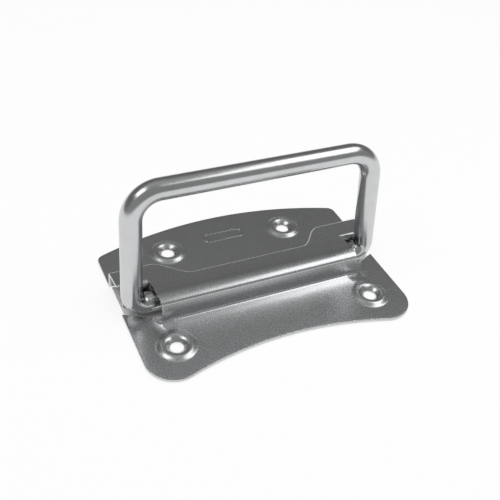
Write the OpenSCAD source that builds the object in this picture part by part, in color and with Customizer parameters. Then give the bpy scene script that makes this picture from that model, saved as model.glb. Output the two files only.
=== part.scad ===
// Folding chest handle: one pressed and zinc-plated mounting plate that traps
// one bent round-bar bail. Front of the plate is -Y, back face is z = 0.

/* [Mounting plate] */
// Width of the plate across both straight sides
plate_w = 100; // [98:0.5:120]
// Depth of the plate from the front corners to the top of the rear arc
plate_d = 73.6; // [70:0.2:84]
// Thickness of the steel sheet
sheet_t = 1.2; // [1:0.05:1.25]
// Radius of the convex rear edge
rear_arc_r = 140; // [120:1:180]
// Radius of the concave front edge
front_arc_r = 126; // [110:1:180]
// Radius of the two front corners
front_corner_r = 10; // [7:0.5:11]
// Radius of the two rear corners
rear_corner_r = 3; // [1:0.25:4]

/* [Channel] */
// Distance from the middle of the plate forward to the outer face of the riser
riser_offset = 11.2; // [11:0.1:11.6]
// Height of the cover at the riser, above the back face
riser_h = 11.2; // [11.2:0.1:12]
// Fall of the cover towards the rear, in degrees
cover_fall = 10; // [8:0.2:10]
// Length of the strap that covers the bar
strap_l = 76; // [74:0.5:77]
// Depth of the channel in the middle, over both outer faces
channel_d = 12.8; // [12.4:0.05:13]
// Depth of the channel at the end tabs, over both outer faces
tab_d = 23.5; // [21:0.1:24.5]
// Length of the recessed middle of the rear rim
recess_l = 38; // [30:0.5:42]
// Length, along the rim, of the sweep from the recess out to a tab
sweep_l = 13; // [11:0.5:14]
// Outer radius of the bend at the top of the riser
riser_bend_r = 2.2; // [1.6:0.1:2.6]
// Outer radius of the bend along the rear rim and over the stop
rim_bend_r = 1.8; // [1.5:0.1:2.2]
// Radius in the foot where a wall meets the flat plate
foot_r = 0.8; // [0.4:0.1:1.2]
// Gap between the stop's lower edge and the back face
stop_lift = 0.5; // [0.2:0.1:1.5]
// Distance from the side of the plate in to the end of each stop
stop_inset = 1.6; // [1:0.1:2.5]

/* [Wings] */
// Distance from the middle of the plate forward to the rear corner of each wing
wing_offset = 3.2; // [3:0.1:5]
// Distance from the middle of the plate forward to a wing's edge beside the riser
notch_offset = 9.6; // [9:0.1:11]
// Height of the upturned lip where a wing meets the end of the riser
lip_h = 5; // [2.5:0.1:5.5]
// Length of the upturned lip along the width
lip_l = 6; // [4:0.5:7]

/* [Screw holes] */
// Distance between the two front holes
front_pitch = 75; // [70:0.5:76]
// Distance between the two rear holes
rear_pitch = 48.5; // [44:0.5:54]
// Distance from the middle of the plate forward to the front holes
front_row = 23.1; // [22.5:0.1:24]
// Distance from the middle of the plate back to the rear holes
rear_row = 22.5; // [22:0.1:24]
// Diameter of the screw holes
hole_d = 4.5; // [3.5:0.1:5]
// Diameter of the countersink at the crown of the raised ring
sink_d = 8; // [7:0.1:8.4]
// Diameter of the ring's crown
crown_d = 9.6; // [9:0.1:10.4]
// Diameter of the raised ring where it leaves the plate
ring_d = 14.5; // [13:0.5:15]
// Height of the raised ring above the plate
ring_h = 0.85; // [0.5:0.05:1]

/* [Bail] */
// Diameter of the round bar
bar_d = 7.4; // [7:0.1:7.4]
// Distance between the centre lines of the two legs at the grip
bail_w = 88.2; // [86:0.2:88.4]
// Distance by which the legs stand further apart at the hinge axis than at the grip
bail_spread = 3.3; // [2:0.1:3.4]
// Distance from the hinge axis to the centre line of the grip
bail_h = 42.8; // [36:0.2:60]
// Centre-line radius of the two bends beside the grip
grip_bend_r = 10; // [8:0.5:14]
// Centre-line radius of the two bends that turn into the channel
foot_bend_r = 5; // [4.8:0.1:5.4]
// Backward lean of the raised bail against its stops, in degrees
bail_lean = 7; // [6:0.5:9]
// Sideways place of the loose bail within its end play
bail_shift = -0.9; // [-0.9:0.1:0.9]
// Gap between the two bar ends inside the channel
bar_end_gap = 1; // [0.6:0.1:4]
// Height of the hinge axis above the back face
axis_h = 4.6; // [4.55:0.05:4.6]
// Gap between the bar and the channel's rear wall
axis_gap = 0.4; // [0.3:0.05:0.5]
// Gap between the leaning legs and their stops
stop_gap = 0.3; // [0.2:0.05:0.5]

/* [Hidden] */
$fn = 96;

zinc = "#9a9b9c";
bright_zinc = "#b9babb";

// Places along the depth, measured from the middle of the plate
riser_y = -riser_offset;
recess_y = riser_y + channel_d;
tab_y = riser_y + tab_d;
wing_y = -wing_offset;
notch_y = -notch_offset;
side_x = plate_w / 2;
strap_x = strap_l / 2;
bar_r = bar_d / 2;
axis_y = recess_y - sheet_t - axis_gap - bar_r;

// The stop stands where a leg that leans back by bail_lean just clears its bend
stop_top_z = cover_z(axis_y + bar_r) - rim_bend_r;
stop_reach = bar_r + stop_gap + (stop_top_z - axis_h) * sin(bail_lean);
stop_y = axis_y + stop_reach / cos(bail_lean);

// Centres of the arcs in the plate's outline
front_corner = [side_x - front_corner_r, front_corner_r - plate_d / 2];
front_arc_y = front_corner.y - sqrt(pow(front_arc_r + front_corner_r, 2) - pow(front_corner.x, 2));
rear_arc_y = plate_d / 2 - rear_arc_r;
rear_corner_x = side_x - rear_corner_r;
rear_corner = [rear_corner_x, rear_arc_y + sqrt(pow(rear_arc_r - rear_corner_r, 2) - pow(rear_corner_x, 2))];

// Steps of the rounded bends and of the sweep of the rear rim
bend_steps = 6;
foot_steps = 4;
sweep_steps = 10;
lip_steps = 6;
ring_steps = 8;
flange_l = 1;
joint_overlap = 0.5;
past = 1;

// Height of the sloping cover above the back face
function cover_z(y) = riser_h - (y - riser_y) * tan(cover_fall);

// Share of the sweep that lies between the recess and the place x
function sweep_share(x) = min(1, max(0, (abs(x) - recess_l / 2) / sweep_l));

// Plan of the rear rim: a recess in the middle and a tab at each end
function rim_y(x) = recess_y + (tab_y - recess_y) * (1 - cos(180 * sweep_share(x))) / 2;

// Steepness of the rim in plan
function rim_slope(x) = (tab_y - recess_y) * PI / 2 / sweep_l * sin(180 * sweep_share(x));

// A wall that runs at a slant is this much thicker along the depth than across itself
function slant(x) = sqrt(1 + pow(rim_slope(x), 2));

// Points of an arc in a section, stretched by k along the depth
function arc(c, r, from, to, steps, k = 1) =
    [for (i = [0:steps]) let (a = from + (to - from) * i / steps) [c.x + k * r * cos(a), c.y + r * sin(a)]];

// Foot of a rear wall whose outer face stands at y, from the wall out to the flange
function rear_foot(y, k, inset, from, to) =
    arc([y + k * foot_r, sheet_t + foot_r], foot_r + inset, from, to, foot_steps, k);

// Rear bend of the cover, from the cover's slope round to the wall
function rim_bend(y, k, inset, from, to) =
    let (fall = atan(k * tan(cover_fall)))
    let (c = [y - k * rim_bend_r, cover_z(y - k * rim_bend_r) - rim_bend_r / cos(fall)])
    arc(c, rim_bend_r - inset, from, to, bend_steps, k);

// Bend at the front of the cover, over a face that stands at y
function front_bend(y, r, inset, from, to) =
    arc([y + r, cover_z(y + r) - r / cos(cover_fall)], r - inset, from, to, bend_steps);

// Foot of the riser, from the flange up to the face
function riser_foot(inset, from, to) =
    arc([riser_y - foot_r, sheet_t + foot_r], foot_r + inset, from, to, foot_steps);

// Rear half of a section: over the rim, down the wall and out along the flange
function rear_skin(y, k) =
    let (crest = 90 - atan(k * tan(cover_fall)))
    concat(
        rim_bend(y, k, 0, crest, 0),
        rear_foot(y, k, 0, 180, 270),
        [[y + k * foot_r + flange_l, sheet_t], [y + k * foot_r + flange_l, 0]],
        rear_foot(y, k, sheet_t, 270, 180),
        rim_bend(y, k, sheet_t, 0, crest));

// Section of the sheet across the strap at the place x
function strap_section(x) = concat(
    [[riser_y - foot_r - flange_l, sheet_t]],
    riser_foot(0, -90, 0),
    front_bend(riser_y, riser_bend_r, 0, 180, 90 - cover_fall),
    rear_skin(rim_y(x), slant(x)),
    front_bend(riser_y, riser_bend_r, sheet_t, 90 - cover_fall, 180),
    riser_foot(sheet_t, 0, -90),
    [[riser_y - foot_r - flange_l, 0]]);

// Section of the sheet across a tab, whose front edge is turned down as the stop
tab_section = concat(
    [[stop_y, stop_lift]],
    front_bend(stop_y, rim_bend_r, 0, 180, 90 - cover_fall),
    rear_skin(tab_y, 1),
    front_bend(stop_y, rim_bend_r, sheet_t, 90 - cover_fall, 180),
    [[stop_y + sheet_t, stop_lift]]);

// Places along the width at which the strap's section is drawn
half_places = concat(
    [for (i = [0:sweep_steps]) recess_l / 2 + sweep_l * i / sweep_steps],
    [strap_x]);
last_place = len(half_places) - 1;
strap_places = concat([for (i = [last_place:-1:0]) -half_places[i]], half_places);

// Height of the lip's free edge, from the riser's end (u = 0) out to the flat wing (u = 1)
function lip_z(u) = sheet_t + (lip_h - sheet_t) * pow(1 - u, 2);

// Plan of a wing's rear edge, from the riser's end out to the side
function wing_edge_y(x) = notch_y + (wing_y - notch_y) * (x - strap_x) / (side_x - strap_x);

// Curve of the lip's upper face: flat on the wing at v = 0, at the free edge at v = 1
function lip_curve(u, v) =
    let (start = [riser_y - foot_r - flange_l, sheet_t])
    let (corner = [riser_y, sheet_t])
    let (edge = [wing_edge_y(strap_x + u * lip_l), lip_z(u)])
    pow(1 - v, 2) * start + 2 * v * (1 - v) * corner + v * v * edge;

// Unit vector across the lip's upper face
function lip_across(u, v) =
    let (start = [riser_y - foot_r - flange_l, sheet_t])
    let (corner = [riser_y, sheet_t])
    let (edge = [wing_edge_y(strap_x + u * lip_l), lip_z(u)])
    let (along = (1 - v) * (corner - start) + v * (edge - corner))
    [-along.y, along.x] / norm(along);

function lip_section(u) = concat(
    [for (i = [0:lip_steps]) lip_curve(u, i / lip_steps)],
    [for (i = [lip_steps:-1:0]) lip_curve(u, i / lip_steps) - sheet_t * lip_across(u, i / lip_steps)]);

// Sheet skinned over a row of sections at given places along the width. A section runs
// along the sheet's upper side and back along its lower side, with as many points on each.
module skin(places, sections) {
    n = len(sections[0]);
    last = len(places) - 1;
    points = [for (i = [0:last]) for (q = sections[i]) [places[i], q.x, q.y]];
    sides = [for (i = [0:last - 1]) for (j = [0:n - 1]) let (k = (j + 1) % n)
        [i * n + j, i * n + k, (i + 1) * n + k, (i + 1) * n + j]];
    near = [for (j = [0:n / 2 - 2]) [n - 1 - j, n - 2 - j, j + 1, j]];
    far = [for (q = near) [for (j = [3:-1:0]) last * n + q[j]]];
    polyhedron(points, concat(near, sides, far), convexity = 8);
}

// A shape and its mirror image at the other end of the plate
module both_ends() {
    children();
    mirror([1, 0, 0]) children();
}

// Outline of the plate seen from above
module outline() {
    rear_touch = [0, rear_arc_y] + rear_arc_r / (rear_arc_r - rear_corner_r) * (rear_corner - [0, rear_arc_y]);
    front_touch = [0, front_arc_y] + front_arc_r / (front_arc_r + front_corner_r) * (front_corner - [0, front_arc_y]);
    intersection() {
        translate([-rear_touch.x, front_corner.y])
            square([2 * rear_touch.x, plate_d]);
        translate([0, rear_arc_y])
            circle(rear_arc_r, $fn = 4 * $fn);
    }
    translate([-side_x, front_corner.y])
        square([plate_w, rear_corner.y - front_corner.y]);
    both_ends() {
        translate(rear_corner)
            circle(rear_corner_r);
        translate(front_corner)
            circle(front_corner_r);
    }
    difference() {
        polygon([[-front_corner.x, front_corner.y], [-front_touch.x, front_touch.y], front_touch, front_corner]);
        translate([0, front_arc_y])
            circle(front_arc_r, $fn = 4 * $fn);
    }
}

// Part of the outline that is drawn up out of the flat sheet, or cut away at the notches
module raised_area() {
    lip_x = strap_x + lip_l;
    rim = [for (x = half_places) [x, rim_y(x) + slant(x) * foot_r]];
    both_ends()
        polygon(concat(
            [[0, rim[0].y]],
            rim,
            [[side_x + past, tab_y + foot_r], [side_x + past, wing_y], [side_x, wing_y],
                [lip_x, wing_edge_y(lip_x)], [lip_x, riser_y - foot_r], [0, riser_y - foot_r]]));
}

// Sheet pressed up into a ring round each screw hole, with the countersink inside it
module screw_ring() {
    ring_r = ring_d / 2;
    sink_r = sink_d / 2;
    hole_r = hole_d / 2;
    crown_r = crown_d / 2;
    swell = function (r) ring_h * (1 + cos(180 * (r - crown_r) / (ring_r - crown_r))) / 2;
    crown_z = sheet_t + ring_h;
    throat_z = sheet_t / 2;
    groove_r = crown_r - (crown_r - sink_r) / 2;
    rotate_extrude()
        polygon(concat(
            [[hole_r, 0], [sink_r - throat_z, 0], [groove_r, ring_h]],
            [for (i = [0:ring_steps]) let (r = crown_r + (ring_r - crown_r) * i / ring_steps) [r, swell(r)]],
            [for (i = [ring_steps:-1:0]) let (r = crown_r + (ring_r - crown_r) * i / ring_steps)
                [r, sheet_t + swell(r)]],
            [[sink_r, crown_z], [hole_r, throat_z]]));
}

// Places the child at each of the four screw holes
module at_holes() {
    for (s = [-1, 1]) {
        translate([s * front_pitch / 2, -front_row, 0])
            children();
        translate([s * rear_pitch / 2, rear_row, 0])
            children();
    }
}

// Mounting plate: one pressed sheet
module mounting_plate() {
    color(zinc) {
        difference() {
            linear_extrude(sheet_t)
                difference() {
                    outline();
                    raised_area();
                }
            at_holes()
                translate([0, 0, -past])
                    cylinder(d = ring_d, h = sheet_t + 2 * past);
        }
        skin(strap_places, [for (x = strap_places) strap_section(x)]);
        both_ends() {
            difference() {
                skin([strap_x - joint_overlap, side_x], [tab_section, tab_section]);
                translate([side_x - stop_inset, stop_y - past, stop_lift - past])
                    cube([stop_inset + past, rim_bend_r + past, riser_h]);
            }
            skin([for (i = [0:lip_steps]) strap_x + lip_l * i / lip_steps],
                [for (i = [0:lip_steps]) lip_section(i / lip_steps)]);
        }
        at_holes()
            screw_ring();
    }
}

// One leg of the bail with half of the grip and its bar end, standing upright over the axis
module half_bail() {
    splay = atan(bail_spread / 2 / bail_h);
    across = [cos(splay), sin(splay)];
    grip_bend = [bail_w / 2 - grip_bend_r * tan((90 - splay) / 2), bail_h - grip_bend_r];
    foot_bend = [(bail_w + bail_spread) / 2 - foot_bend_r * tan((90 + splay) / 2), foot_bend_r];
    leg_top = grip_bend + grip_bend_r * across;
    leg_foot = foot_bend + foot_bend_r * across;
    translate([0, 0, bail_h])
        rotate([0, 90, 0])
            cylinder(r = bar_r, h = grip_bend.x);
    translate([grip_bend.x, 0, grip_bend.y])
        rotate([90, 0, 0])
            rotate([0, 0, splay])
                rotate_extrude(angle = 90 - splay)
                    translate([grip_bend_r, 0])
                        circle(bar_r);
    translate([leg_foot.x, 0, leg_foot.y])
        rotate([0, -splay, 0])
            cylinder(r = bar_r, h = norm(leg_top - leg_foot));
    translate([foot_bend.x, 0, foot_bend.y])
        rotate([90, 0, 0])
            rotate([0, 0, -90])
                rotate_extrude(angle = 90 + splay)
                    translate([foot_bend_r, 0])
                        circle(bar_r);
    translate([bar_end_gap / 2, 0, 0])
        rotate([0, 90, 0])
            cylinder(r = bar_r, h = foot_bend.x - bar_end_gap / 2);
}

// Bail: one bent round bar, leaning back against the stops
module bail() {
    color(bright_zinc)
        translate([bail_shift, axis_y, axis_h])
            rotate([-bail_lean, 0, 0])
                both_ends()
                    half_bail();
}

mounting_plate();
bail();
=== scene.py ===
import bmesh
import bpy
import math
from mathutils import Matrix, Vector
from mathutils.geometry import delaunay_2d_cdt


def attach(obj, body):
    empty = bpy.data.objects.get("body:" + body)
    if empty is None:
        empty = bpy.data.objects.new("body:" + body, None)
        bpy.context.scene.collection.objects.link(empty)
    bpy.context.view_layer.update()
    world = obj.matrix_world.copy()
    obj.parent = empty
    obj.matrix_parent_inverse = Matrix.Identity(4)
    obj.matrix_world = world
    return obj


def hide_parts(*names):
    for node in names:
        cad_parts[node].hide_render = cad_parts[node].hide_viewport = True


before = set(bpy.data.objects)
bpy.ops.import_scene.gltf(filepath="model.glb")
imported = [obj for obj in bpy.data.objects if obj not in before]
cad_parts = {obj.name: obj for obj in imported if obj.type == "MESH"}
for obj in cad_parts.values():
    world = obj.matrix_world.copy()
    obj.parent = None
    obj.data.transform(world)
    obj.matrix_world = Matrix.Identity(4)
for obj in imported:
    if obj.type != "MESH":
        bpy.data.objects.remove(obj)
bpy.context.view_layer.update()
scene = bpy.context.scene
scene.view_settings.view_transform = "Standard"

MM = 0.001

# Outline of the plate, in millimetres from its middle; the front is -Y and the back face z = 0
SIDE_X = 50
HALF_D = 36.8
SHEET_T = 1.2
REAR_ARC_R = 140
FRONT_ARC_R = 126
FRONT_CORNER_R = 10
REAR_CORNER_R = 3

# Raised channel that covers the bar; the riser bows back, and its top bend eases into the sloping cover
RISER_Y = -12.7
RECESS_Y = 1.6
TAB_Y = 12.3
RISER_H = 12.4
COVER_FALL = math.radians(11.5)
STRAP_X = 38
RECESS_X = 21.3
SWEEP_L = 13
RISER_BOW = 0.75
RISER_LEAN = math.radians(11)
TOP_TIGHT_R = 1.3
TOP_EASY_R = 14
TOP_EASE_POWER = 3
RIM_BEND_R = 1.8
FOOT_R = 0.9
RISER_FOOT_R = 1.3
FLANGE_L = 1

# The channel sits to the left of the plate's middle; the shift fades out towards the sides and flanges
CHANNEL_SHIFT = -0.9
SHIFT_X = 40
SHIFT_Y = 14.4
SHIFT_FADE_L = 1

# The press draws the front up a little towards the foot of the riser
DRAW_RISE = 1.5
DRAW_L = 4
DRAW_HEIGHT = 7
DRAW_X = 35
DRAW_FADE_L = 6

# Front edges of the tabs, turned down as stops for the legs
STOP_LIFT = 0.5
STOP_X = 48.4
STOP_GAP = 0.3

# Wings beside the legs, with a low lip that starts at the riser's end and fades out along the rear edge
WING_Y = -3.2
NOTCH_Y = -9.6
LIP_H = 2.7
LIP_L = 6
LIP_TURN = 0.3

# Screw holes in their pressed rings
FRONT_HOLE = (37.5, -23.1)
REAR_HOLE = (24.25, 22.5)
HOLE_R = 2.25
SINK_R = 4
SINK_LEAD = 0.4
RING_CROWN_R = 4.8
RING_R = 7.25
RING_H = 0.85

# Plain pressed frame in the middle of the rear flange
PANEL_MIDDLE = (-0.4, 25.2)
PANEL_HALF = (8.2, 2.5)
PANEL_CORNER_R = 2.2
PANEL_RIDGE_W = 0.6
PANEL_RIDGE_H = 0.25

# Bail, upright over its axis, then leaned back
BAR_R = 3.7
BAIL_W = 88.2
BAIL_SPREAD = 3.3
BAIL_H = 42.8
GRIP_BEND_R = 10
FOOT_BEND_R = 5
BAR_END_GAP = 1
BAR_END_ROUND = 0.5
BAIL_LEAN = math.radians(7)
BAIL_SHIFT = -0.9
AXIS_GAP = 0.4
AXIS_Z = 4.6
AXIS_Y = RECESS_Y - SHEET_T - AXIS_GAP - BAR_R

# Steps of the rounded forms
BEND_STEPS = 14
FACE_STEPS = 6
FOOT_STEPS = 6
SWEEP_STEPS = 26
LIP_STEPS = 18
RING_STEPS = 14
TURN_STEPS = 72
CORNER_STEPS = 24
EDGE_STEPS = 48
BAR_STEPS = 64
PANEL_STEPS = 8
GRID = 1.25

# Rounding of the sheared edges, where the sheet turns by more than the angle
EDGE_ROUND = 0.22
EDGE_ANGLE = math.radians(50)
EDGE_SEGMENTS = 2
LEVEL_WEIGHT = 90

# Points closer than this are one point, in the mesh and in plan
WELD = 0.002
PLAN_TOLERANCE = 1e-5

# Most of a noise texture lies between these values
NOISE_LOW, NOISE_HIGH = 0.3, 0.7

# Paper that the part lies on: half sizes and heights in millimetres, and the share of plain white that shows
FLOOR_HALF = (4000, 4000)
FLOOR_Z = -0.3
SHADE_HALF = (49, 12)
SHADE_Z = -0.15
WHITE_SHARE = 0.84

# Light of the room: behind the part by the height of the direction, and even in front of it
FAR_LIGHT = ((0, 0.22), (0.62, 0.145), (0.72, 0.23), (1, 0.40))
NEAR_LIGHT = 0.29
NEAR_FADE = (0.05, -0.35)

# Camera at the photograph's viewing angle, with distances in millimetres
VIEW_AZIMUTH = math.radians(-29.106)
VIEW_ELEVATION = math.radians(39.861)
VIEW_ROLL = math.radians(6.839)
VIEW_DISTANCE = 270.29
VIEW_ASIDE = -1.70
VIEW_RISE = 12.63
VIEW_Y = -3.48
FOCAL_PX = 739.07
FRAME_PX = 500
SENSOR_W = 36
NEAREST = 10


def cover_z(y):
    """Height of the sloping cover above the back face."""
    return RISER_H - (y - RISER_Y) * math.tan(COVER_FALL)


STOP_TOP_Z = cover_z(AXIS_Y + BAR_R) - RIM_BEND_R
STOP_REACH = BAR_R + STOP_GAP + (STOP_TOP_Z - AXIS_Z) * math.sin(BAIL_LEAN)
STOP_Y = AXIS_Y + STOP_REACH / math.cos(BAIL_LEAN)


def smooth(t):
    """Rises from 0 to 1 with level ends."""
    t = min(1, max(0, t))
    return (1 - math.cos(math.pi * t)) / 2


def sweep_share(x):
    """How far along the sweep from recess to tab a place lies, from 0 to 1."""
    return min(1, max(0, (abs(x) - RECESS_X) / SWEEP_L))


def rim_y(x):
    """Plan of the rear rim: a recess in the middle and a tab at each end."""
    return RECESS_Y + (TAB_Y - RECESS_Y) * smooth(sweep_share(x))


def slant(x):
    """A wall that runs at a slant is this much thicker along the depth than across itself."""
    slope = (TAB_Y - RECESS_Y) * math.pi / 2 / SWEEP_L * math.sin(math.pi * sweep_share(x))
    return math.hypot(1, slope)


def arc(middle, radius, start, end, steps, stretch=1):
    """Points of an arc, with angles in degrees; stretch widens it along the first axis."""
    turns = [math.radians(start + (end - start) * i / steps) for i in range(steps + 1)]
    return [(middle[0] + stretch * radius * math.cos(a), middle[1] + radius * math.sin(a)) for a in turns]


def riser_chain(inset):
    """Section from the flat front up the riser to the height of the lip, inset from the outer face."""
    return [
        (RISER_Y - RISER_FOOT_R - FLANGE_L, SHEET_T - inset),
        *arc((RISER_Y - RISER_FOOT_R, SHEET_T + RISER_FOOT_R), RISER_FOOT_R + inset, -90, 0, FOOT_STEPS),
        (RISER_Y + inset, LIP_H),
    ]


def bend_chain(face_y, radius, inset):
    """Bend from an upright face at face_y over to the slope of the cover."""
    middle = (face_y + radius, cover_z(face_y + radius) - radius / math.cos(COVER_FALL))
    return arc(middle, radius - inset, 180, 90 - math.degrees(COVER_FALL), BEND_STEPS)


def top_chain(inset):
    """Riser's bowed face above the lip, and the bend over to the cover, tight at first and then easing."""
    step = (math.pi / 2 + COVER_FALL - RISER_LEAN) / BEND_STEPS
    y, z = RISER_Y + RISER_BOW, 0
    bend = []
    for i in range(BEND_STEPS + 1):
        bearing = math.pi - RISER_LEAN - i * step
        bend.append((y - inset * math.cos(bearing), z - inset * math.sin(bearing)))
        half_on = bearing - step / 2
        radius = TOP_TIGHT_R + (TOP_EASY_R - TOP_TIGHT_R) * ((i + 0.5) / BEND_STEPS) ** TOP_EASE_POWER
        last = (y, z)
        y, z = y + radius * step * math.sin(half_on), z - radius * step * math.cos(half_on)
    lift = cover_z(last[0]) - last[1]
    face = []
    for i in range(1, FACE_STEPS):
        t = i / FACE_STEPS
        lean = RISER_LEAN * t
        face.append((RISER_Y + RISER_BOW * t ** 2 + inset * math.cos(lean),
                     LIP_H + (lift - LIP_H) * t - inset * math.sin(lean)))
    return face + [(y, z + lift) for y, z in bend]


def rear_chain(face_y, stretch, inset):
    """Section over the rear rim, down its wall and out along the flat rear flange."""
    fall = math.atan(stretch * math.tan(COVER_FALL))
    rim_middle_y = face_y - stretch * RIM_BEND_R
    rim_middle = (rim_middle_y, cover_z(rim_middle_y) - RIM_BEND_R / math.cos(fall))
    foot_middle = (face_y + stretch * FOOT_R, SHEET_T + FOOT_R)
    return [
        *arc(rim_middle, RIM_BEND_R - inset, 90 - math.degrees(fall), 0, BEND_STEPS, stretch),
        *arc(foot_middle, FOOT_R + inset, 180, 270, FOOT_STEPS, stretch),
        (face_y + stretch * FOOT_R + FLANGE_L, SHEET_T - inset),
    ]


def tab_chain(inset):
    """Section across a tab, whose front edge is turned down as the stop for a leg."""
    return [
        (STOP_Y + inset, STOP_LIFT),
        *bend_chain(STOP_Y, RIM_BEND_R, inset),
        *rear_chain(TAB_Y, 1, inset),
    ]


def mix(a, b, t):
    return tuple(p + (q - p) * t for p, q in zip(a, b))


def stop_seam():
    """Share of the cover's depth, at the strap's end, at which the stop's bend begins."""
    front = top_chain(0)[-1][0]
    rear = rear_chain(TAB_Y, 1, 0)[0][0]
    return (bend_chain(STOP_Y, RIM_BEND_R, 0)[-1][0] - front) / (rear - front)


def strap_chain(x, inset):
    """Section across the strap, from the flat front to the flat rear flange."""
    bend = top_chain(inset)
    rear = rear_chain(rim_y(x), slant(x), inset)
    return [*riser_chain(inset), *bend, mix(bend[-1], rear[0], stop_seam()), *rear]


def wing_edge_y(x):
    """Plan of a wing's rear edge, from the riser's end out to the side."""
    return NOTCH_Y + (WING_Y - NOTCH_Y) * (x - STRAP_X) / (SIDE_X - STRAP_X)


def lip_chain(u, inset):
    """Section of a wing's rear edge, from the end of the riser (u = 0) to where it lies flat (u = 1)."""
    riser = riser_chain(inset)
    outer = riser_chain(0)
    steps = [0]
    for a, b in zip(outer, outer[1:]):
        steps.append(steps[-1] + math.dist(a, b))
    start, corner = (outer[0][0], SHEET_T), (RISER_Y, SHEET_T)
    edge = (wing_edge_y(STRAP_X + u * LIP_L), SHEET_T + (LIP_H - SHEET_T) * (1 - u) ** 2)
    turn = smooth(u / LIP_TURN)
    chain = []
    for point, step in zip(riser, steps):
        v = step / steps[-1]
        before, after = mix(start, corner, v), mix(corner, edge, v)
        length = math.dist(before, after)
        across = ((before[1] - after[1]) / length, (after[0] - before[0]) / length)
        curved = mix(before, after, v)
        chain.append(mix(point, (curved[0] - inset * across[0], curved[1] - inset * across[1]), turn))
    return chain


def drawn(p):
    """A point of the flat layout, lifted where the press draws the sheet up beside the riser."""
    foot_y = RISER_Y - RISER_FOOT_R
    if p.y > RISER_Y + SHEET_T + TOP_TIGHT_R:
        return p
    reach = math.exp(min(0, p.y - foot_y) / DRAW_L)
    upright = min(1, max(0, 1 - (p.z - SHEET_T) / DRAW_HEIGHT))
    fade = 1 - smooth((abs(p.x) - DRAW_X) / DRAW_FADE_L)
    return p + Vector((0, 0, DRAW_RISE * reach * upright * fade))


def shifted(p):
    """A point moved with the channel, which sits a little to the left, as the bail does."""
    across = 1 - smooth((abs(p.x) - SHIFT_X) / (SIDE_X - SHIFT_X))
    deep = 1 - smooth((abs(p.y) - SHIFT_Y) / SHIFT_FADE_L)
    return p + Vector((CHANNEL_SHIFT * across * deep, 0, 0))


def inside(point, loop):
    """Whether a plan point lies inside a closed loop."""
    x, y = point
    odd = False
    for (ax, ay), (bx, by) in zip(loop, loop[1:] + loop[:1]):
        if (ay > y) != (by > y) and x < ax + (y - ay) / (by - ay) * (bx - ax):
            odd = not odd
    return odd


def at(x, chain):
    """A section's points, set up at a place along the width."""
    return [Vector((x, y, z)) for y, z in chain]


class Skin:
    """Faces of one closed skin, in millimetres. Points that coincide become one when the mesh is made."""

    def __init__(self):
        self.points = []
        self.faces = []

    def face(self, points):
        self.faces.append(range(len(self.points), len(self.points) + len(points)))
        self.points += points

    def loft(self, rows):
        for a, b in zip(rows, rows[1:]):
            for i in range(len(a) - 1):
                self.face([a[i], a[i + 1], b[i + 1], b[i]])

    def flat(self, loops, z):
        """Flat area inside the first loop and outside the others, on an even grid of points."""
        def free(point):
            return inside(point, loops[0]) and not any(inside(point, loop) for loop in loops[1:])

        points = [Vector(p) for loop in loops for p in loop]
        edges = []
        for loop in loops:
            start = len(edges)
            edges += [(start + i, start + (i + 1) % len(loop)) for i in range(len(loop))]
        across = range(1 - int(SIDE_X / GRID), int(SIDE_X / GRID))
        deep = range(1 - int(HALF_D / GRID), int(HALF_D / GRID))
        grid = [(i * GRID, j * GRID) for j in deep for i in across]
        edge_cells = {(round(p.x / GRID), round(p.y / GRID)) for p in points}
        for g in grid:
            if (round(g[0] / GRID), round(g[1] / GRID)) not in edge_cells and free(g):
                points.append(Vector(g))
        made, _, faces, *_ = delaunay_2d_cdt(points, edges, [], 1, PLAN_TOLERANCE)
        for f in faces:
            if free(tuple(sum((made[i] for i in f), Vector((0, 0))) / len(f))):
                self.face([Vector((*made[i], z)) for i in f])

    def wall(self, run):
        """Cut edge of the flat sheet along a run of points in plan."""
        self.loft([[Vector((x, y, z)) for x, y in run] for z in (0, SHEET_T)])

    def mirrored(self):
        other = Skin()
        other.points = [Vector((-p.x, p.y, p.z)) for p in self.points]
        other.faces = self.faces
        return other

    def add(self, other):
        start = len(self.points)
        self.points += other.points
        self.faces += [[start + i for i in f] for f in other.faces]

    def piece(self, name):
        """The skin as an object, welded, facing outwards and smooth."""
        bm = bmesh.new()
        verts = [bm.verts.new(p * MM) for p in self.points]
        for f in self.faces:
            bm.faces.new([verts[i] for i in f])
        bmesh.ops.remove_doubles(bm, verts=bm.verts, dist=WELD * MM)
        bmesh.ops.recalc_face_normals(bm, faces=bm.faces)
        mesh = bpy.data.meshes.new(name)
        bm.to_mesh(mesh)
        bm.free()
        mesh.shade_smooth()
        o = bpy.data.objects.new(name, mesh)
        scene.collection.objects.link(o)
        return o


def ring_loop(hole, radius):
    return [(hole[0] + radius * math.cos(a), hole[1] + radius * math.sin(a))
            for a in (math.tau * i / TURN_STEPS for i in range(TURN_STEPS))]


def ring_profile():
    """Half section of a pressed ring, from the flat sheet over the crown and countersink and back below."""
    crown_z = SHEET_T + RING_H
    throat = (HOLE_R, SHEET_T / 2)
    radii = [RING_R + (RING_CROWN_R - RING_R) * i / RING_STEPS for i in range(RING_STEPS + 1)]
    swell = [(r, RING_H * smooth((RING_R - r) / (RING_R - RING_CROWN_R))) for r in radii]
    crown, sink = (RING_CROWN_R, crown_z), (SINK_R, crown_z)
    sink_start = mix(sink, throat, SINK_LEAD)
    lead = []
    for i in range(1, BEND_STEPS + 1):
        t = i / BEND_STEPS
        lead.append(mix(mix(crown, sink, t), mix(sink, sink_start, t), t))
    below = [(HOLE_R, 0), (SINK_R - SHEET_T / 2, 0), ((RING_CROWN_R + SINK_R) / 2, RING_H)]
    return [*((r, SHEET_T + z) for r, z in swell), *lead, throat, *below, *reversed(swell)]


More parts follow.
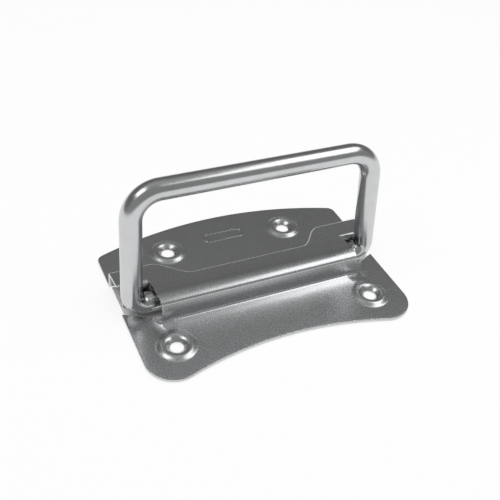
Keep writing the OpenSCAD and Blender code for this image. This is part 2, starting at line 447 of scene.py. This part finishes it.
def screw_ring(skin, hole):
    rows = []
    for i in range(TURN_STEPS + 1):
        a = math.tau * (i % TURN_STEPS) / TURN_STEPS
        x, y = math.cos(a), math.sin(a)
        rows.append([Vector((hole[0] + r * x, hole[1] + r * y, z)) for r, z in ring_profile()])
    skin.loft(rows)


def panel_loop(inset):
    """Rounded oblong of the pressed frame, drawn in from its outer edge."""
    (x, y), (half_l, half_w) = PANEL_MIDDLE, PANEL_HALF
    loop = []
    for sx, sy, start in ((1, -1, -90), (1, 1, 0), (-1, 1, 90), (-1, -1, 180)):
        middle = (x + sx * (half_l - PANEL_CORNER_R), y + sy * (half_w - PANEL_CORNER_R))
        loop += arc(middle, PANEL_CORNER_R - inset, start, start + 90, BEND_STEPS)
    return loop


def pressed_panel(skin):
    """The frame's low ridge and the flat inside it."""
    rows = []
    for i in range(PANEL_STEPS + 1):
        height = PANEL_RIDGE_H * math.sin(math.pi * i / PANEL_STEPS) ** 2
        loop = panel_loop(PANEL_RIDGE_W * i / PANEL_STEPS)
        rows.append([Vector((x, y, SHEET_T + height)) for x, y in (*loop, loop[0])])
    skin.loft(rows)
    skin.flat([panel_loop(PANEL_RIDGE_W)], SHEET_T)


def mounting_plate():
    """The pressed sheet as one closed skin."""
    sweep = [RECESS_X + SWEEP_L * i / SWEEP_STEPS for i in range(SWEEP_STEPS + 1)]
    half_strap = [0, *sweep, STRAP_X]
    lip_steps = [i / LIP_STEPS for i in range(LIP_STEPS + 1)]
    lip_x = STRAP_X + LIP_L
    insets = (0, SHEET_T)
    stop_end = BEND_STEPS + 1

    # Outer and inner faces of the strap, the stops, the tabs and the lips
    half = Skin()
    for inset in insets:
        half.loft([at(x, strap_chain(x, inset)) for x in half_strap])
        half.loft([at(x, tab_chain(inset)[:stop_end + 1]) for x in (STRAP_X, STOP_X)])
        half.loft([at(x, tab_chain(inset)[stop_end:]) for x in (STRAP_X, STOP_X, SIDE_X)])
        half.loft([at(STRAP_X + u * LIP_L, lip_chain(u, inset)) for u in lip_steps])

    # Cut edges along the lip, the stop and the rest of the tab's front, then the cut ends
    half.loft([at(STRAP_X + u * LIP_L, [lip_chain(u, inset)[-1] for inset in insets]) for u in lip_steps])
    half.loft([at(x, [tab_chain(inset)[0] for inset in insets]) for x in (STRAP_X, STOP_X)])
    half.loft([at(x, [tab_chain(inset)[stop_end] for inset in insets]) for x in (STOP_X, SIDE_X)])
    riser_end = len(riser_chain(0)) - 1
    seam = riser_end + len(top_chain(0)) + 1
    outer, inner = (at(STRAP_X, strap_chain(STRAP_X, inset)) for inset in insets)
    half.face(outer[riser_end:seam + 1] + inner[riser_end:seam + 1][::-1])
    for x in (STRAP_X, STOP_X):
        outer, inner = (at(x, tab_chain(inset)[:stop_end + 1]) for inset in insets)
        half.face(outer + inner[::-1])
    outer, inner = (at(SIDE_X, tab_chain(inset)[stop_end:]) for inset in insets)
    half.face(outer + inner[::-1])

    # Free edges of the flat front and the flat rear in plan, and their seams with the channel
    corner = (SIDE_X - FRONT_CORNER_R, FRONT_CORNER_R - HALF_D)
    front_arc_y = corner[1] - math.sqrt((FRONT_ARC_R + FRONT_CORNER_R) ** 2 - corner[0] ** 2)
    bearing = math.degrees(math.atan2(corner[1] - front_arc_y, corner[0]))
    front_free = [
        *arc((0, front_arc_y), FRONT_ARC_R, 90, bearing, EDGE_STEPS),
        *arc(corner, FRONT_CORNER_R, bearing - 180, 0, CORNER_STEPS),
        (SIDE_X, WING_Y),
        (lip_x, wing_edge_y(lip_x)),
    ]
    front_seam = [
        *((lip_x, y) for y, z in lip_chain(1, 0)[-2::-1]),
        *((STRAP_X + u * LIP_L, lip_chain(u, 0)[0][0]) for u in lip_steps[-2::-1]),
        *((x, strap_chain(x, 0)[0][0]) for x in half_strap[-2::-1]),
    ]
    rear_corner_x = SIDE_X - REAR_CORNER_R
    rear_arc_y = HALF_D - REAR_ARC_R
    rear_reach = math.sqrt((REAR_ARC_R - REAR_CORNER_R) ** 2 - rear_corner_x ** 2)
    rear_corner = (rear_corner_x, rear_arc_y + rear_reach)
    bearing = math.degrees(math.atan2(rear_corner[1] - rear_arc_y, rear_corner_x))
    tab_end = (SIDE_X, tab_chain(0)[-1][0])
    rear_free = [
        tab_end,
        *arc(rear_corner, REAR_CORNER_R, 0, bearing, CORNER_STEPS),
        *arc((0, rear_arc_y), REAR_ARC_R, bearing, 90, EDGE_STEPS)[1:],
    ]
    rear_seam = [*((x, strap_chain(x, 0)[-1][0]) for x in half_strap), (STOP_X, tab_end[1])]

    def closed(half_loop):
        return half_loop + [(-x, y) for x, y in reversed(half_loop) if x > 0]

    half.wall(front_free)
    half.wall(rear_free)
    for hole in (FRONT_HOLE, REAR_HOLE):
        screw_ring(half, hole)

    skin = Skin()
    skin.add(half)
    skin.add(half.mirrored())
    for half_loop, hole in ((front_free + front_seam, FRONT_HOLE), (rear_seam + rear_free, REAR_HOLE)):
        loops = [closed(half_loop), ring_loop(hole, RING_R), ring_loop((-hole[0], hole[1]), RING_R)]
        skin.flat(loops, 0)
        skin.flat(loops + [panel_loop(0)] if hole is REAR_HOLE else loops, SHEET_T)
    pressed_panel(skin)
    skin.points = [shifted(drawn(p)) for p in skin.points]
    return skin.piece("pressed_plate")


def bar_path():
    """Centre line of the upright bail with its directions, from one bar end round to the other."""
    splay = math.atan2(BAIL_SPREAD / 2, BAIL_H)
    turn = math.degrees(splay)
    grip = (BAIL_W / 2 - GRIP_BEND_R * math.tan((math.pi / 2 - splay) / 2), BAIL_H - GRIP_BEND_R)
    foot = ((BAIL_W + BAIL_SPREAD) / 2 - FOOT_BEND_R * math.tan((math.pi / 2 + splay) / 2), FOOT_BEND_R)
    steps = CORNER_STEPS
    half = [(BAR_END_GAP / 2, 0)]
    bearings = [-90]
    for middle, radius, start, end in ((foot, FOOT_BEND_R, -90, turn), (grip, GRIP_BEND_R, turn, 90)):
        half += arc(middle, radius, start, end, steps)
        bearings += [start + (end - start) * i / steps for i in range(steps + 1)]
    half += [(-x, z) for x, z in reversed(half)]
    bearings += [180 - b for b in reversed(bearings)]
    return list(zip(half, bearings))


def bail():
    """The bent bar as one closed skin, leaning back on its axis."""
    path = bar_path()
    rows = []
    for (x, z), bearing in path:
        out = Vector((math.cos(math.radians(bearing)), 0, math.sin(math.radians(bearing))))
        rows.append((Vector((x, 0, z)), out, BAR_R))
    rounding = [(BAR_END_ROUND * (1 - math.sin(a)), BAR_R - BAR_END_ROUND * (1 - math.cos(a)))
                for a in (math.pi / 2 * i / FOOT_STEPS for i in range(FOOT_STEPS, 0, -1))]
    first, last = rows[0], rows[-1]
    heads = [(first[0] + Vector((d, 0, 0)), first[1], r) for d, r in rounding]
    tails = [(last[0] - Vector((d, 0, 0)), last[1], r) for d, r in reversed(rounding)]
    rows = heads + [(first[0] + Vector((BAR_END_ROUND, 0, 0)), first[1], BAR_R)] + rows[1:-1]
    rows += [(last[0] - Vector((BAR_END_ROUND, 0, 0)), last[1], BAR_R)] + tails
    lean = Matrix.Rotation(-BAIL_LEAN, 3, "X")
    place = Vector((BAIL_SHIFT, AXIS_Y, AXIS_Z))
    skin = Skin()
    loops = []
    for middle, out, radius in rows:
        turns = [math.tau * (i % BAR_STEPS) / BAR_STEPS for i in range(BAR_STEPS + 1)]
        loop = [middle + radius * (math.cos(a) * out + math.sin(a) * Vector((0, 1, 0))) for a in turns]
        loops.append([lean @ p + place for p in loop])
    skin.loft(loops)
    skin.face(loops[0][:-1])
    skin.face(loops[-1][:-1])
    return skin.piece("bent_bar")


def linear(hex_colour):
    """An sRGB hex colour as a linear RGBA colour."""
    parts = [int(hex_colour[i:i + 2], 16) / 255 for i in (1, 3, 5)]
    return [c / 12.92 if c <= 0.04045 else ((c + 0.055) / 1.055) ** 2.4 for c in parts] + [1]


def add(tree, kind, links=(), **settings):
    """Adds a shader node, sets its sockets and properties, and links outputs to its inputs."""
    n = tree.nodes.new(kind)
    for key, value in settings.items():
        if key in n.inputs:
            n.inputs[key].default_value = value
        else:
            setattr(n, key, value)
    for socket, output in dict(links).items():
        tree.links.new(output, n.inputs[socket])
    return n


def grey(level):
    """A grey of a given strength of light, as an RGBA colour."""
    return (level, level, level, 1)


def material(name):
    """An empty material and its node tree."""
    mat = bpy.data.materials.new(name)
    mat.use_nodes = True
    mat.node_tree.nodes.clear()
    return mat, mat.node_tree


def zinc_plating(name, light, dark, rough, grain_mm, cloud_mm, bump_mm):
    """Bright zinc plating: a clear grey mirror, slightly clouded, over the fine grain of the steel.

    The plating's own grain is too fine to show, so it is drawn as coarse as grain_mm.
    """
    mat, t = material(name)
    place = add(t, "ShaderNodeTexCoord").outputs["Object"]
    cloud = add(t, "ShaderNodeTexNoise", {"Vector": place},
                Scale=1 / (cloud_mm * MM), Detail=3, Roughness=0.6)
    grain = add(t, "ShaderNodeTexNoise", {"Vector": place},
                Scale=1 / (grain_mm * MM), Detail=2, Roughness=0.55)
    colour = add(t, "ShaderNodeValToRGB", {"Fac": cloud.outputs["Fac"]})
    for stop, position, hex_colour in zip(colour.color_ramp.elements, (NOISE_LOW, NOISE_HIGH), (dark, light)):
        stop.position = position
        stop.color = linear(hex_colour)
    gloss = add(t, "ShaderNodeMapRange", {"Value": grain.outputs["Fac"]},
                **{"From Min": NOISE_LOW, "From Max": NOISE_HIGH, "To Min": rough[0], "To Max": rough[1]})
    relief = add(t, "ShaderNodeBump", {"Height": grain.outputs["Fac"]}, Strength=1, Distance=bump_mm * MM)
    links = {
        "Base Color": colour.outputs["Color"],
        "Roughness": gloss.outputs["Result"],
        "Normal": relief.outputs["Normal"],
    }
    bsdf = add(t, "ShaderNodeBsdfPrincipled", links, Metallic=1)
    add(t, "ShaderNodeOutputMaterial", {"Surface": bsdf.outputs[0]})
    return mat


# Cold-rolled sheet keeps a faint tooth below its zinc, so what it mirrors loses its edges
sheet = zinc_plating("bright_zinc_on_pressed_sheet", light="#d0d1d2", dark="#cacbcc",
                     rough=(0.27, 0.28), grain_mm=0.5, cloud_mm=5, bump_mm=0.00005)
# The bar is drawn through a die, so its zinc is smoother and the streaks of light on it are crisper
bar = zinc_plating("bright_zinc_on_drawn_bar", light="#d0d1d2", dark="#cacbcc",
                   rough=(0.20, 0.23), grain_mm=0.5, cloud_mm=4, bump_mm=0.00005)

plate = mounting_plate()
rounding = plate.modifiers.new("sheared_edges", "BEVEL")
rounding.width = EDGE_ROUND * MM
rounding.segments = EDGE_SEGMENTS
rounding.limit_method = "ANGLE"
rounding.angle_limit = EDGE_ANGLE
rounding.use_clamp_overlap = False
plate.modifiers.new("level_faces", "WEIGHTED_NORMAL").weight = LEVEL_WEIGHT
grip = bail()
for piece, mat, slot, node, body in (
    (plate, sheet, "zinc_plated_sheet", "mounting_plate", "plate"),
    (grip, bar, "zinc_plated_bar", "bail", "bail"),
):
    piece.data.materials.append(mat)
    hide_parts(node)
    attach(piece, body)


def sheet_of_paper(name, half, z, mat):
    """A staged sheet below the part, with its half sizes and height in millimetres."""
    mesh = bpy.data.meshes.new(name)
    signs = ((-1, -1), (1, -1), (1, 1), (-1, 1))
    mesh.from_pydata([(sx * half[0] * MM, sy * half[1] * MM, z * MM) for sx, sy in signs], [], [range(4)])
    mesh.materials.append(mat)
    o = bpy.data.objects.new(name, mesh)
    scene.collection.objects.link(o)


# White paper: plain white to the camera and in the metal, with a share of its own shading for the shadow
mat, t = material("white_paper")
path = add(t, "ShaderNodeLightPath")
paper = add(t, "ShaderNodeBsdfDiffuse", Color=linear("#f3f3f3"))
glow = add(t, "ShaderNodeEmission", Color=linear("#ffffff"), Strength=1)
lit = add(t, "ShaderNodeMixShader", {1: paper.outputs[0], 2: glow.outputs[0]}, Fac=WHITE_SHARE)
seen = path.outputs["Is Camera Ray"]
for ray in ("Is Glossy Ray", "Is Transmission Ray"):
    seen = add(t, "ShaderNodeMath", {0: seen, 1: path.outputs[ray]}, operation="MAXIMUM").outputs[0]
shown = add(t, "ShaderNodeMixShader", {0: seen, 1: paper.outputs[0], 2: lit.outputs[0]})
add(t, "ShaderNodeOutputMaterial", {"Surface": shown.outputs[0]})
sheet_of_paper("floor", FLOOR_HALF, FLOOR_Z, mat)

# The paper below the channel lies in the part's own shade
mat, t = material("shaded_paper")
paper = add(t, "ShaderNodeBsdfDiffuse", Color=linear("#ededed"))
add(t, "ShaderNodeOutputMaterial", {"Surface": paper.outputs[0]})
sheet_of_paper("floor_below_channel", SHADE_HALF, SHADE_Z, mat)

# A grey room for the metal to mirror, which the camera sees as white
world = bpy.data.worlds.new("studio")
scene.world = world
world.use_nodes = True
t = world.node_tree
t.nodes.clear()
path = add(t, "ShaderNodeLightPath")
bearing = add(t, "ShaderNodeSeparateXYZ", {"Vector": add(t, "ShaderNodeTexCoord").outputs["Generated"]})
far = add(t, "ShaderNodeValToRGB", {"Fac": bearing.outputs["Z"]})
for height, _ in FAR_LIGHT[1:-1]:
    far.color_ramp.elements.new(height)
for stop, (_, level) in zip(far.color_ramp.elements, FAR_LIGHT):
    stop.color = grey(level)
far_side = add(t, "ShaderNodeBackground", {"Color": far.outputs["Color"]})
near_side = add(t, "ShaderNodeBackground", Color=grey(NEAR_LIGHT))
nearness = add(t, "ShaderNodeMapRange", {"Value": bearing.outputs["Y"]},
               **{"From Min": NEAR_FADE[0], "From Max": NEAR_FADE[1]})
room = add(t, "ShaderNodeMixShader",
           {0: nearness.outputs["Result"], 1: far_side.outputs[0], 2: near_side.outputs[0]})
white = add(t, "ShaderNodeBackground", Color=grey(1))
shown = add(t, "ShaderNodeMixShader",
            {0: path.outputs["Is Camera Ray"], 1: room.outputs[0], 2: white.outputs[0]})
add(t, "ShaderNodeOutputWorld", {"Surface": shown.outputs[0]})


def softbox(name, place, size, power):
    """A soft lamp that faces the part; place and size in metres, the first size along the depth."""
    light = bpy.data.lights.new(name, "AREA")
    light.shape = "RECTANGLE"
    light.size, light.size_y = size
    light.energy = power
    o = bpy.data.objects.new(name, light)
    o.location = place
    o.rotation_mode = "QUATERNION"
    o.rotation_quaternion = (-Vector(place)).to_track_quat("-Z", "Y")
    scene.collection.objects.link(o)
    return o


softbox("softbox_right", place=(0.375, -0.10, 0.59), size=(0.54, 0.33), power=0.94)
softbox("softbox_left", place=(-0.39, 0, 0.58), size=(0.40, 0.28), power=0.65)
# Lights the paper from above, and isn't mirrored in the metal
paper_light = softbox("paper_light", place=(0, 0, 1.2), size=(1, 1), power=9)
paper_light.visible_glossy = False

az, el, roll = VIEW_AZIMUTH, VIEW_ELEVATION, VIEW_ROLL
back = Vector((math.sin(az) * math.cos(el), -math.cos(az) * math.cos(el), math.sin(el)))
right = Vector((math.cos(az), math.sin(az), 0))
up = back.cross(right)
right, up = math.cos(roll) * right + math.sin(roll) * up, math.cos(roll) * up - math.sin(roll) * right
place = back * VIEW_DISTANCE + right * VIEW_ASIDE + up * VIEW_RISE + Vector((0, VIEW_Y, 0))
cam = bpy.data.objects.new("camera", bpy.data.cameras.new("camera"))
cam.matrix_world = Matrix.Translation(place * MM) @ Matrix((right, up, back)).transposed().to_4x4()
cam.data.sensor_width = SENSOR_W
cam.data.lens = FOCAL_PX / FRAME_PX * SENSOR_W
cam.data.clip_start = NEAREST * MM
scene.collection.objects.link(cam)
scene.camera = cam
